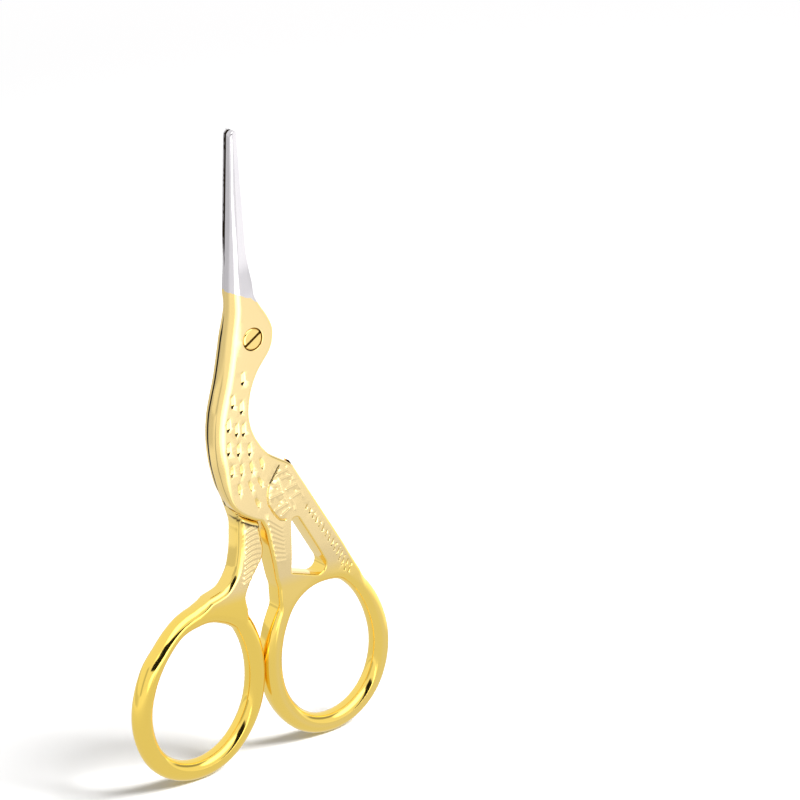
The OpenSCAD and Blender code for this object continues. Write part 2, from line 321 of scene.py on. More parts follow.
# Points that the outlines run through: the two heights they lie between, then [x from the eye in mm, share
# of the way up]
PROFILE = {
    "brow": ("eye_z", "plating_z", [
        [-3.42, 0.65], [-3.72, 0.35], [-4.02, 0.08]]),
    "throat": ("neck_z", "eye_z", [
        [-4.42, 0.82], [-5.15, 0.5], [-5.9, 0.25], [-6.5, 0.02]]),
    "chest": ("belly_z", "neck_z", [
        [-6.78, 0.82], [-6.55, 0.62], [-6.1, 0.49], [-5.5, 0.36], [-4.65, 0.245], [-3.45, 0.15],
        [-2.1, 0.085], [-0.6, 0.03]]),
    "back": ("belly_z", "neck_z", [
        [7.25, 0.34], [6.35, 0.425], [5.5, 0.47], [3.9, 0.53], [2.4, 0.59], [1.4, 0.655], [0.6, 0.725],
        [-0.1, 0.8], [-0.65, 0.9]]),
    "nape": ("neck_z", "eye_z", [
        [-0.85, 0.0], [-0.65, 0.19], [-0.1, 0.37], [0.8, 0.535], [1.9, 0.665], [2.8, 0.765],
        [3.4, 0.885]]),
    "crown": ("eye_z", "plating_z", [
        [3.6, 0.06], [3.35, 0.24], [2.67, 0.45], [1.75, 0.66], [1.05, 0.84]]),
    "leg_left": ("ring_top", "belly_z", [
        [1.4, 0.82], [1.85, 0.6], [2.45, 0.3], [3.05, 0.02], [3.5, -0.13], [3.55, -0.22], [3.7, -0.5]]),
    "step": ("belly_z", "neck_z", [
        [2.2, 0.59], [1.95, 0.5], [2.1, 0.36], [1.95, 0.2], [1.35, 0.08]]),
    "left_leg_down": ("ring_top", "belly_z", [
        [-3.15, 1.08], [-3.13, 0.9], [-3.25, 0.66], [-3.57, 0.47], [-3.9, 0.35], [-4.6, 0.235],
        [-5.65, 0.125], [-6.85, 0.08], [-8.6, 0.03], [-10.2, -0.1], [-11.2, -0.3]]),
    "left_leg_up": ("ring_top", "belly_z", [
        [-1.6, -0.38], [-2.15, -0.14], [-2.05, -0.05], [-1.55, 0.065], [-0.8, 0.195], [0.1, 0.325],
        [0.85, 0.445], [1.05, 0.58], [0.8, 0.71], [0.5, 0.87]]),
}


def profile_points(z):
    """The points that the outlines run through, each list of PROFILE under its own name."""
    return SimpleNamespace(**{key: stretch(getattr(z, low), getattr(z, high), points, z)
                              for key, (low, high, points) in PROFILE.items()})


def left_edge_radius(points, z):
    """Radius along the front half's left side: a blade's spine, the soft head and neck, the belly."""
    height = points[:, 1]
    belly = smooth(z.neck_z - 0.4 * z.body_l, z.belly_z + 0.12 * z.body_l, height)
    body = z.soft_r + (z.edge_r - z.soft_r) * belly
    return to_spine(body, height, z)


def to_spine(body, height, z):
    """The body's radius, which turns into that of the blade's spine at the plating line."""
    return body + (spine_radius(height, z) - body) * smooth(z.plating_z - 2, z.plating_z + 1, height)


def rear_left_radius(points, z):
    """Radius along the rear half's left side: least along the cutting edge, and most down the leg."""
    height = points[:, 1]
    head = (0.3 * z.soft_r + 0.12) * smooth(z.plating_z + 1, z.plating_z - 2, height)
    leg = (0.4 * z.soft_r - 0.27) * smooth(z.belly_z + 3, z.belly_z - 1, height)
    return CUT_EDGE_R + head + leg


def right_edge_radius(points, z):
    """Radius along the right side: that of the body, and next to nothing along the cutting edge."""
    return z.edge_r + (CUT_EDGE_R - z.edge_r) * smooth(z.plating_z - 2, z.plating_z + 2, points[:, 1])


def spine_radius(height, z):
    """Radius of a blade's spine, which gets sharper towards the tip."""
    return z.spine_r * (1 - 0.72 * smooth(z.plating_z, z.plating_z + 0.7 * (z.tip_z - z.plating_z), height))


def bump(low, rise, high, x):
    """0 outside low and high, 1 between them from a distance rise inwards."""
    return smooth(low, low + rise, x) * smooth(high, high - rise, x)


def front_loops(z):
    """Outline, ring hole and cut-out of the front half, and the line of its step."""
    p = profile_points(z)
    left = flow(beak_edge(-1, z)[::-1], p.brow, p.throat, p.chest, z.notch)
    left = edged(left, lambda q: left_edge_radius(q, z), 0.3)
    leg = edged(flow(z.notch, p.leg_left), 1.1 * z.edge_r, 0.35)
    leg, leg_angle = outside_ring(leg, z, 1)
    right = edged(flow(ring(24, 0.8 * z.rim_r, z), p.back, p.nape, p.crown, beak_edge(1, z)),
                  lambda q: right_edge_radius(q, z), 1.3)
    above_tail = int(np.argmax(right[:, 1] > p.back[0, 1]))
    tail, tail_angle = outside_ring(right[: 1 + above_tail][::-1], z, 1)
    angles = np.linspace(leg_angle, tail_angle + 360, 700)
    rim = edged(ring(angles, z.rim_r, z), z.rim_r * (0.6 + 0.4 * smooth(0, 25, angles - leg_angle)),
                z.rim_r * (0.3 + 0.7 * smooth(30, 85, angles - leg_angle)))
    parts = [left, leg, rim, tail[::-1], right[above_tail:]]
    outer = closed_loop(parts, [0.2, 0.7, 1.2, 0.0, 0.0], OUTLINE_STEP)
    angles = np.linspace(0, 360, 181)[:-1]
    thinner = 0.55 * np.exp(-(((angles - 52) / 24) ** 2))
    hole = ring(angles, -z.rim_r + thinner, z)
    holes = [edged(hole, z.rim_r, z.rim_r), edged(cut_out(z), 0.25, 0.3)]
    step = np.vstack([z.notch, flow(p.step)[::-1], p.back[4]])
    return turned_to(outer, True), [turned_to(h, False) for h in holes], between(step, 0, 0, 0.5)


def cut_out(z):
    """The cut-out between leg and tail: a triangle with rounded corners. Each corner is an arc that touches
    both of its sides, so its centre lies radius / sin(half the corner's angle) from the corner."""
    foot_z = z.ring_top + 0.06 * z.leg_l
    corners = np.array([[z.cut_left_x, foot_z], [z.cut_left_x + z.cut_w, foot_z - 0.35 * z.cut_w],
                        [z.cut_left_x, foot_z + z.cut_h]])
    arcs = []
    for i, radius in enumerate((0.4, z.cut_foot_r, z.cut_top_r)):
        u, v = (unit(corners[(i + turn) % 3] - corners[i]) for turn in (-1, 1))
        half = math.acos(u @ v) / 2
        centre = corners[i] + unit(u + v) * radius / math.sin(half)
        start, turn = math.atan2(-v[0], v[1]), math.pi - 2 * half
        a = start - turn * np.linspace(1, 0, 13)
        arcs.append(centre + radius * np.stack([np.cos(a), np.sin(a)], -1))
    loop = np.vstack([*arcs, arcs[0][:1]])
    return between(loop, 0, 0, 0.25)[:-1]


def rear_loops(z):
    """Outline and ring hole of the rear half, and the line where its leg's thicker part ends."""
    p = profile_points(z)
    inside = np.array([z.neck_step, 0])
    brow = p.brow + inside * np.array([[1.8], [1.5], [1.15]])
    edge = beak_edge(-1, z)
    edge[:, 0] += 1.9 * z.neck_step * smooth(z.plating_z + 9, z.plating_z, edge[:, 1])
    left = flow(edge[::-1], brow, p.throat + inside, p.chest[:5] + inside, p.left_leg_down)
    left = edged(left, lambda q: rear_left_radius(q, z), 0.7 * z.soft_r)
    leg, leg_angle = outside_ring(left, z, -1)
    up, up_angle = outside_ring(edged(flow(p.left_leg_up), z.edge_r, z.edge_r)[::-1], z, -1)
    angles = np.linspace(leg_angle, up_angle + 360, 700)
    flatter = 0.35 * bump(leg_angle, 12, 152, angles)
    rim = edged(ring(angles, z.rim_r - flatter, z, -1), z.rim_r, z.rim_r)
    top = z.notch - z.stop_gap * np.array([0.6, 0.8])
    corner = stretch(z.belly_z, z.neck_z, [[2.0, 0.612]], z)
    step = np.vstack([top, p.step[::-1] - [z.stop_gap, 0], corner])
    behind = np.array([[0.2], [0.6], [1], [1]]) * z.neck_step * np.array([0.6, 0.3])
    right = flow(step, p.back[5:] - behind, p.nape - [0.6 * z.neck_step, 0], p.crown, beak_edge(1, z))
    right = edged(right, lambda q: to_spine(z.edge_r, q[:, 1], z), 0.3)
    short = edged(np.vstack([p.left_leg_up[-1], top]), z.edge_r, z.edge_r)
    outer = closed_loop([leg, rim, up[::-1], short, right], [0.8, 0.7, 0.0, 0.0, 0.0], OUTLINE_STEP)
    angles = np.linspace(0, 360, 181)[:-1]
    web = z.left_web * np.clip(1.25 * np.sin(np.pi * np.clip((132 - angles) / 99, 0, 1)), 0, 1)
    hole = edged(ring(angles, -z.rim_r - web, z, -1), z.rim_r, z.rim_r)
    ledge = flow(p.chest[::-1][:5] - z.stop_gap * np.array([0.6, 0.8]))
    line = between(np.vstack([top, ledge]), 0, 0, 0.4)
    line = line[np.r_[True, is_inside(line[1:], [outer])]]
    return turned_to(outer, True), [turned_to(hole, False)], line


# Ornament


# The ornament, as [x, z] in mm: the feather marks' middles, then the arc, the bars and the pits of the wing
MARKS = [
    (-3.15, 59.2), (-4.95, 56.2), (-3.5, 55.05), (-5.8, 52.9), (-4.45, 51.95), (-3.3, 51.7),
    (-5.9, 49.45), (-4.25, 48.95), (-2.4, 48.55), (-5.45, 46.05), (-3.85, 45.85), (-2.15, 45.85),
    (-0.4, 46.0), (-4.3, 43.1), (-2.4, 43.15), (-0.75, 43.3), (-1.3, 40.3)]
WING_ARC = [
    [2.5, 44.8], [1.4, 43.3], [0.7, 42.2], [0.42, 40.9], [0.55, 39.4], [1.5, 37.75], [2.4, 36.7],
    [3.4, 36.35]]
WING_BARS = [
    [[2.5, 42.7], [3.2, 40.4], [4.25, 38.0]], [[0.85, 40.3], [2.95, 40.55]],
    [[1.55, 38.2], [3.7, 38.75]], [[2.1, 43.6], [3.9, 43.9], [4.35, 43.2]],
    [[2.5, 42.7], [4.7, 42.9], [4.9, 42.2]], [[3.6, 40.95], [5.5, 41.3], [5.9, 40.6]],
    [[4.35, 39.4], [4.95, 38.3], [5.1, 37.5]], [[4.35, 39.4], [6.1, 39.9], [6.5, 39.1]],
    [[2.7, 37.2], [4.25, 38.0]]]
WING_PITS = [
    [1.9, 41.5], [2.5, 39.4], [4.2, 42.1], [3.55, 44.4], [2.1, 38.9], [5.1, 40.4]]


def feather_marks(z):
    """Centre, half length and turn of each punched feather mark, as [x, z, half length, degrees]."""
    marks = np.array(MARKS) + [z.eye_x + 1.3, z.belly_z - 37.1]
    low = smooth(51, 42, marks[:, 1])
    turn = low * np.clip((marks[:, 0] + 6.5) * 5, 0, 28)
    return np.column_stack([marks, 1.0 - 0.14 * low, turn])


def feather_depth(points, z):
    """Depth of the feather marks, and the painted dark reflection on them. Each is a chisel cut with five
    flat sides: a steep left wall, a floor that rises to the right, a lower right wall with a painted dark
    reflection, and a short wall at each end. A side's depth grows in a straight line from its edge, and
    the mark's depth is the least of the five."""
    marks = feather_marks(z)
    turn = np.radians(marks[:, 3])
    q = points[:, None] - marks[None, :, :2]
    down = q[..., 0] * np.sin(turn) - q[..., 1] * np.cos(turn)
    across = q[..., 0] * np.cos(turn) + q[..., 1] * np.sin(turn)
    reach = marks[:, 2]
    half_w = 0.36 - 0.1 * smooth(0, -1, down / reach)
    sides = np.array([0.3 * (reach - down) + 0.46 * (-0.03 - across), 1.6 * (across + half_w),
                      0.36 * (half_w - across), 0.4 * (down + reach), 1.3 * (reach + 0.08 - down)])
    depth = np.clip(sides.min(0), 0, z.mark_depth)
    # Painted dark reflection on the lower right wall, fainter in the lower rows
    dark = smooth(0.0, 0.03, sides[1:].min(0) - sides[0]) * smooth(0.0, 0.03, depth)
    return depth.max(1), (dark * (0.3 + 0.6 * smooth(43, 49, marks[:, 1]))).max(1)


def groove(points, lines, half_w, depth):
    """Depth of a rounded groove along straight lines: depth (1 - (distance / half width)^2), and 0 beyond
    it."""
    start = lines[:, 0]
    along = lines[:, 1] - start
    q = points[:, None] - start[None]
    t = np.clip((q * along).sum(2) / (along**2).sum(1), 0, 1)
    apart = np.hypot(*(q - t[..., None] * along).transpose(2, 0, 1)).min(1)
    return depth * np.clip(1 - (apart / half_w) ** 2, 0, 1)


def chained(points):
    """The straight lines between neighbouring points."""
    p = np.array(points, float)
    return np.stack([p[:-1], p[1:]], 1)


def wing_depth(points, z):
    """The wing: an engraved arc at its front, and a raised fret with small pits in its cells."""
    lines = np.concatenate([chained(bar) for bar in WING_BARS])
    raised = groove(points, lines, 0.19, z.line_depth)
    pitted = np.clip(1 - (distances(points, np.array(WING_PITS)) / 0.16) ** 2, 0, 1).max(1)
    arc = groove(points, chained(flow(WING_ARC)), 0.17, 2.2 * z.line_depth)
    return arc + z.line_depth * pitted - raised


def tail_hatch(points, z):
    """A row of short grooves down the tail. They get longer towards the ring."""
    share = np.linspace(0, 1, 15)
    top = np.array([7.2, 37.6]) + share[:, None] * np.array([7.9, -11.4])
    reach = (0.55 + 1.25 * share**2)[:, None]
    lines = np.stack([top, top + reach * np.array([-0.42, -0.9])], 1)
    return groove(points, lines, 0.13, HATCH_DEPTH * z.line_depth)


def right_leg_ribs(points, z):
    """Slanting raised ribs on the thigh, flatter and fainter towards the knee."""
    share = np.linspace(0, 1, 9)
    start = np.array([0.35, 37.3]) + share[:, None] * np.array([1.35, -6.9])
    slope = np.column_stack([2.3 - 0.9 * share, -1.9 + 1.7 * share])
    lines = np.stack([start, start + slope], 1)
    return -groove(points, lines, 0.2, 0.8 * z.line_depth)


def left_leg_ribs(points, z):
    """Curved raised ribs across the front of the left leg."""
    heights = np.linspace(36.3, 28.7, 11)
    across = np.array([[-3.45, -0.35], [-2.6, 0.0], [-1.7, 0.12], [-0.95, 0.0]])
    shift = np.where(heights < 31, -0.12 * (31 - heights), 0)
    ribs = [across + [dx, h] for h, dx in zip(heights, shift)]
    return -groove(points, np.concatenate([chained(rib) for rib in ribs]), 0.22, z.line_depth)


def front_ornament(points, z):
    """All the ornament on the front half's face."""
    body = feather_depth(points, z)[0] + wing_depth(points, z)
    return body + tail_hatch(points, z) + right_leg_ribs(points, z)


def front_dark(points, z):
    """Painted shade and dark reflections on the front face: in the feather marks' tips, the top of the
    wing's arc and the hatch.
    """
    arc = groove(points, chained([[2.5, 44.8], [1.4, 43.3], [0.95, 42.6]]), 0.17, 1.0)
    hatch = 0.5 * tail_hatch(points, z) / (HATCH_DEPTH * z.line_depth)
    return np.clip(feather_depth(points, z)[1] + 0.95 * arc + hatch, 0, 1)


def tail_ornament(points, z):
    """The ornament on the back of the tail and thigh."""
    return tail_hatch(points, z) + right_leg_ribs(points, z)


# Surfaces


def face_height(points, z):
    """How far the face lies from the sliding plane: less on the rings, and tapering along the blade."""
    height = points[:, 1]
    on_body = smooth(z.ring_top - 0.15 * z.leg_l, z.ring_top + 0.4 * z.leg_l, height)
    taper = np.clip((height - z.plating_z) / (z.tip_z - z.plating_z), 0, 1)
    return z.rim_r + (z.half_t - z.rim_r) * on_body + (z.tip_t - z.half_t) * taper


def rounded_edge(depth_in, radius):
    """Drop of a quarter-round edge at a distance d in from the outline: sqrt(r^2 - (r - d)^2) - r."""
    inside = np.clip(radius - depth_in, 0, None)
    return np.sqrt(np.clip(radius**2 - inside**2, 0, None)) - radius


def rounded_drop(points, sides, column):
    """Drop of the surface near rounded edges, and how flat it is there from 0 to 1. Sides are pairs of a
    line with its radii and whether it is closed. The lowest of the roundings counts."""
    drop, flat = np.zeros(len(points)), np.ones(len(points))
    for line, closed in sides:
        apart, radius = near(points, line, closed, column)
        drop = np.minimum(drop, rounded_edge(apart, radius))
        flat = np.minimum(flat, smooth(0.6, 1.05, apart / radius))
    return drop, flat


def outer_height(points, drop, z, spine_side):
    """Height of a half's outer surface: a flat face with a rounded edge, which along the blade turns into a
    rounded spine, a ridge and a bevel down to the cutting edge."""
    x, height = points.T
    face = face_height(points, z)
    half_w = beak_half_w(height, z)
    from_spine = np.clip(half_w - spine_side * (x - z.beak_x), 0, None)
    from_cut = np.clip(half_w + spine_side * (x - z.beak_x), 0, None)
    edge_t = 1.3 * z.cut_t
    bevel = edge_t + (face - edge_t) * from_cut / (2 * half_w * (1 - RIDGE_SHARE))
    blade = np.minimum(face + rounded_edge(from_spine, spine_radius(height, z)), bevel)
    on_blade = smooth(z.plating_z - 0.5, z.plating_z + 6.5, height)
    return face + drop + (blade - face - drop) * on_blade


def ridge_line(z, spine_side):
    """The ridge between a blade's spine and its bevel."""
    height = np.arange(z.plating_z + 5, z.tip_z - 0.8, 0.3)
    half_w = beak_half_w(height, z)
    return np.stack([z.beak_x + spine_side * half_w * (1 - 2 * RIDGE_SHARE), height], -1)


def inward(line, closed=True):
    """Unit directions into the metal at each point of a line that has the metal on its left."""
    p = line[:, :2]
    along = np.roll(p, -1, axis=0) - np.roll(p, 1, axis=0)
    if not closed:
        along[0], along[-1] = p[1] - p[0], p[-1] - p[-2]
    normal = np.stack([-along[:, 1], along[:, 0]], -1)
    return normal / np.linalg.norm(normal, axis=1)[:, None]


def near(points, line, closed, column, chunk=1500):
    """Distance from each point to the nearest straight side of a line, and the line's radius there."""
    a, b = (line, np.roll(line, -1, axis=0)) if closed else (line[:-1], line[1:])
    along = (b - a)[:, :2]
    square = np.maximum((along**2).sum(1), 1e-12)
    apart, radius = [np.zeros(0)], [np.zeros(0)]
    for i in range(0, len(points), chunk):
        q = points[i : i + chunk, None] - a[None, :, :2]
        t = np.clip((q * along).sum(2) / square, 0, 1)
        gap = ((q - t[..., None] * along) ** 2).sum(2)
        best = gap.argmin(1)
        rows = np.arange(len(best))
        share = t[rows, best]
        apart.append(np.sqrt(gap[rows, best]))
        radius.append(a[best, column] * (1 - share) + b[best, column] * share)
    return np.concatenate(apart), np.concatenate(radius)


def is_inside(points, loops):
    """Even-odd test of points against closed loops."""
    crossings = np.zeros(len(points), int)
    for loop in loops:
        a, b = loop[:, :2], np.roll(loop[:, :2], -1, axis=0)
        spans = (a[None, :, 1] > points[:, None, 1]) != (b[None, :, 1] > points[:, None, 1])
        rise = np.where(b[:, 1] == a[:, 1], 1, b[:, 1] - a[:, 1])
        at = a[:, 0] + (points[:, None, 1] - a[:, 1]) * (b[:, 0] - a[:, 0]) / rise
        crossings += (spans & (points[:, None, 0] < at)).sum(1)
    return crossings % 2 == 1


def edge_rows(sides, column):
    """Rows of points round the rounded edges along the lines, and their depth from the line: r (1 - cos
    a)."""
    rows, depths = [], []
    for line, closed in sides:
        radius, into = line[:, column], inward(line, closed)
        for angle in EDGE_ANGLES + (None,):
            share = 1 if angle is None else 1 - math.cos(math.radians(angle))
            depth = radius * share + (PAST_EDGE if angle is None else 0)
            keep = depth < DEEPEST_ROW
            rows.append((line[:, :2] + into * depth[:, None])[keep])
            depths.append(depth[keep])
    return np.vstack(rows), np.concatenate(depths)


def depth_from(points, sides, column):
    """Distance from each point to the nearest of the lines, and the radius there."""
    found = [near(points, line, closed, column) for line, closed in sides]
    apart = np.array([f[0] for f in found])
    best = apart.argmin(0)
    rows = np.arange(len(points))
    return apart[best, rows], np.array([f[1] for f in found])[best, rows]


def grid(low, high, step):
    """A grid of points in a box, with every second row shifted by half a step."""
    x, y = np.meshgrid(np.arange(low[0], high[0], step), np.arange(low[1], high[1], step * 0.87))
    x = x + (np.arange(x.shape[0])[:, None] % 2) * step / 2
    return np.stack([x.ravel(), y.ravel()], -1)


def face_points(loops, sides, column, ornament):
    """All the points of a face apart from its outline: rows round the edges, coarse points in the face, and
    fine ones where there is ornament."""
    rows, row_depths = edge_rows(sides, column)
    rows, row_depths = (block[is_inside(rows, loops)] for block in (rows, row_depths))
    rows = rows[depth_from(rows, sides, column)[0] > 0.97 * row_depths - 0.004]
    low, high = loops[0][:, :2].min(0), loops[0][:, :2].max(0)
    coarse = grid(low, high, FACE_STEP)
    fine = grid(low, high, MARK_STEP)
    fine = fine[is_inside(fine, loops)]
    nearby = [np.abs(ornament(fine + np.array(shift))) > 0.002
              for shift in ((0, 0), (MARK_STEP, 0), (-MARK_STEP, 0), (0, MARK_STEP), (0, -MARK_STEP))]
    fine = fine[np.any(nearby, axis=0)]
    fill = np.vstack([coarse[is_inside(coarse, loops)], fine])
    depth, radius = depth_from(fill, sides, column)
    return np.vstack([rows, fill[depth > radius + FACE_CLEAR]])


def triangles_of(points, edges):
    """Triangles of a constrained Delaunay triangulation of flat points."""
    _, _, faces, source, _, _ = delaunay_2d_cdt([Vector(p) for p in points], edges, [], 0, 1e-7, True)
    first = np.array([s[0] if s else -1 for s in source])
    triangles = first[np.array(faces)]
    return triangles[(triangles >= 0).all(1)]


def loop_edges(loops, start=0):
    """The sides of closed loops, as pairs of point numbers."""
    out = []
    for loop in loops:
        i = np.arange(len(loop))
        out.append(np.column_stack([i, np.roll(i, -1)]) + start)
        start += len(loop)
    return np.vstack(out)


def region_triangles(points, outline_count, edges, test_loops):
    """Triangles between the loops. One that touches a point inside is kept, and the rest are tested."""
    triangles = triangles_of(points, edges.tolist())
    on_outline = (triangles < outline_count).all(1)
    middle = points[triangles[on_outline]].mean(1)
    keep = np.ones(len(triangles), bool)
    keep[np.nonzero(on_outline)[0]] = is_inside(middle, test_loops)
    return triangles[keep]


def circle(radius, z, n=72):
    """A circle round the eye."""
    t = np.linspace(0, 2 * math.pi, n + 1)[:-1]
    return np.stack([z.eye_x + radius * np.cos(t), z.eye_z + radius * np.sin(t)], -1)


class MeshParts:
    """Collects points and faces, in millimetres, until they become one welded mesh."""

    def __init__(self):
        self.points, self.satin, self.crevice, self.faces, self.count = [], [], [], [], 0

    # The second value per point is painted shade, which darkens the colour towards black
    def add(self, flat, y, satin=0.0, crevice=0.0):
        """Adds points [x, z] at depth y, with their satin finish and their painted shade, and gives their
        numbers.
        """
        flat = np.asarray(flat, float)
        block = np.empty((len(flat), 3))
        block[:, 0], block[:, 1], block[:, 2] = flat[:, 0], y, flat[:, 1]
        self.points.append(block)
        self.satin.append(np.broadcast_to(satin, len(flat)))
        self.crevice.append(np.broadcast_to(crevice, len(flat)))
        self.count += len(flat)
        return np.arange(self.count - len(flat), self.count)

    def fill(self, faces):
        """Adds faces, each a row of point numbers."""
        self.faces.append(np.asarray(faces))

    def band(self, a, b):
        """Joins two closed loops of as many points with a band of faces."""
        self.fill(np.column_stack([a, np.roll(a, -1), np.roll(b, -1), b]))

    def tube(self, previous, loops, *finish):
        """Goes on from a closed loop with bands through more loops, given as [points, depth]. Gives the
        last."""
        for flat, y in loops:
            following = self.add(flat, y, *finish)
            self.band(previous, following)
            previous = following
        return previous

    def join(self, a, b, rows):
        """Joins neighbouring rows of points along the outline's sides from a to b."""
        for upper, lower in zip(rows, rows[1:]):
            self.fill(np.column_stack([upper[a], upper[b], lower[b], lower[a]]))

    def build(self, name, material, sharp=38):
        """Makes the welded object, with its faces outwards and its sharp edges marked."""
        points = np.vstack(self.points) * MM
        mesh = bpy.data.meshes.new(name)
        mesh.from_pydata(points, [], [face.tolist() for block in self.faces for face in block])
        for key in ("satin", "crevice"):
            values = np.concatenate(getattr(self, key)).astype(np.float32)
            mesh.attributes.new(key, "FLOAT", "POINT").data.foreach_set("value", values)
        work = bmesh.new()
        work.from_mesh(mesh)
        bmesh.ops.remove_doubles(work, verts=work.verts, dist=WELD)
        bmesh.ops.dissolve_degenerate(work, edges=work.edges, dist=WELD / 2)
        bmesh.ops.delete(work, geom=[v for v in work.verts if not v.link_faces], context="VERTS")
        bmesh.ops.triangulate(work, faces=[f for f in work.faces if len(f.verts) > 4])
        bmesh.ops.recalc_face_normals(work, faces=work.faces)
        work.to_mesh(mesh)
        work.free()
        mesh.polygons.foreach_set("use_smooth", np.ones(len(mesh.polygons), bool))
        mesh.set_sharp_from_angle(angle=math.radians(sharp))
        mesh.materials.append(material)
        piece = bpy.data.objects.new(name, mesh)
        bpy.context.scene.collection.objects.link(piece)
        return piece


def finish_of(points, flat, gloss, z):
    """How pale and soft the plating is from 0 to 1: least on the rings, more on walls and rounded edges
    higher up, and most on flat faces."""
    height = points[:, 1]
    pale = gloss + (1 - gloss) * smooth(z.ring_top - 1.6, z.ring_top + 1, height)
    on_edges = 0.2 + 0.45 * smooth(z.belly_z - 1, z.belly_z + 6, height)
    return pale * (on_edges + (1 - on_edges) * flat)


def crease(points, drop_sides, column, z):
    """A thin painted dark line along the soft left edges, where the side wall turns into the rounded edge:
    a painted reflection of something dark.
    """
    outline, closed = drop_sides[0]
    apart, radius = near(points, outline, closed, column)
    line = np.exp(-(((apart / radius - 0.212) / 0.022) ** 2))
    return 0.7 * line * smooth(0.6, 0.8, radius) * bump(z.ring_top - 2, 6, z.neck_z + 3, points[:, 1])


def outer_sheet(parts, loops, side, spine_side, ornament, shade, gloss, z):
    """The outer surface of a half, over its whole outline. Returns the numbers of the loops' points."""
    sides = [(loop, True) for loop in loops]
    border = np.vstack(loops)[:, :2]
    inside = face_points(loops, sides, OUTER, ornament)
    ridge = ridge_line(z, spine_side)
    inside = inside[distances(inside, ridge).min(1) > RIDGE_CLEAR]
    points = np.vstack([border, ridge, ridge - [RIDGE_ROW, 0], ridge + [RIDGE_ROW, 0], inside])
    ridge_edges = len(border) + np.column_stack([np.arange(len(ridge) - 1), np.arange(1, len(ridge))])
    edges = np.vstack([loop_edges(loops), ridge_edges])
    faces = region_triangles(points, len(border), edges, loops)
    drop, flat = rounded_drop(points, sides, OUTER)
    carved = ornament(points)
    # The last value is painted shade and painted dark reflection on this face
    numbers = parts.add(points, side * (outer_height(points, drop, z, spine_side) - carved),
                        finish_of(points, flat, gloss, z) * (1 - 0.45 * smooth(0.01, 0.06, carved)),
                        np.maximum(shade(points), crease(points, sides, OUTER, z)))
    parts.fill(numbers[faces if side < 0 else faces[:, ::-1]])
    return numbers[: len(border)]


def inner_dark(points, sides, z):
    """Painted shade on the rear half's inner side: a painted dark reflection where its soft left edge meets
    the side wall, and painted shade close under its ledge."""
    from_step, _ = near(points, sides[1][0], False, INNER)
    return np.maximum(crease(points, sides, INNER, z), 0.95 * bump(0.5, 0.08, 0.86, from_step))


def layer_rows(parts, flat, outline, on_layer, side, gloss, z):
    """The rows of points that end a wall at the sliding plane, where the half is one layer thick. From the
    face inwards they are the two edges of a painted seam shadow on the rear half's neck, each with its
    fade, the start of the seam's chamfer, the chamfer's foot painted dark as shade, and the border of the
    sliding face."""
    count = len(outline)
    wall = finish_of(flat, 0, gloss, z)
    chamfer = np.zeros(len(flat))
    chamfer[:count] = z.seam_t * on_layer
    has_seam = chamfer > 0
    from_back = np.hypot(*(flat - profile_points(z).back[4]).T)
    # Painted shade at the chamfer's foot, fading out near the back's corner
    seam_painted_shade = has_seam * smooth(1.4, 3.4, from_back)
    into = inward(outline) * chamfer[:count, None]
    inset = flat.copy()
    inset[:count] += 0.7 * into
    seam = parts.add(inset, side * z.face_gap, wall, seam_painted_shade)
    inset[:count] += 0.25 * into
    layer = parts.add(inset, side * z.face_gap, wall)

    x, height = flat.T
    marked = (side > 0) * (x < z.eye_x - 1.5) * has_seam
    low = marked * (0.2 + 0.4 * smooth(z.plating_z + 8, z.plating_z - 1, height))
    above_seam = chamfer + PAINT_FADE * has_seam
    lines = [(chamfer, seam_painted_shade), (above_seam, 0.0)]
    # The painted seam shadow down the rear half's neck
    for above, dark in ((-PAINT_FADE, 0.0), (0.0, 1.0), (DARK_LINE, 1.0), (DARK_LINE + PAINT_FADE, 0.0)):
        level = low + above * np.clip(low / 0.6, 0.35, 1)
        lines.append((np.maximum(above_seam, level * marked), dark * marked))
    walls = [parts.add(flat, side * (z.face_gap + y), wall, dark) for y, dark in lines[::-1]]
    return [*walls, seam, layer]


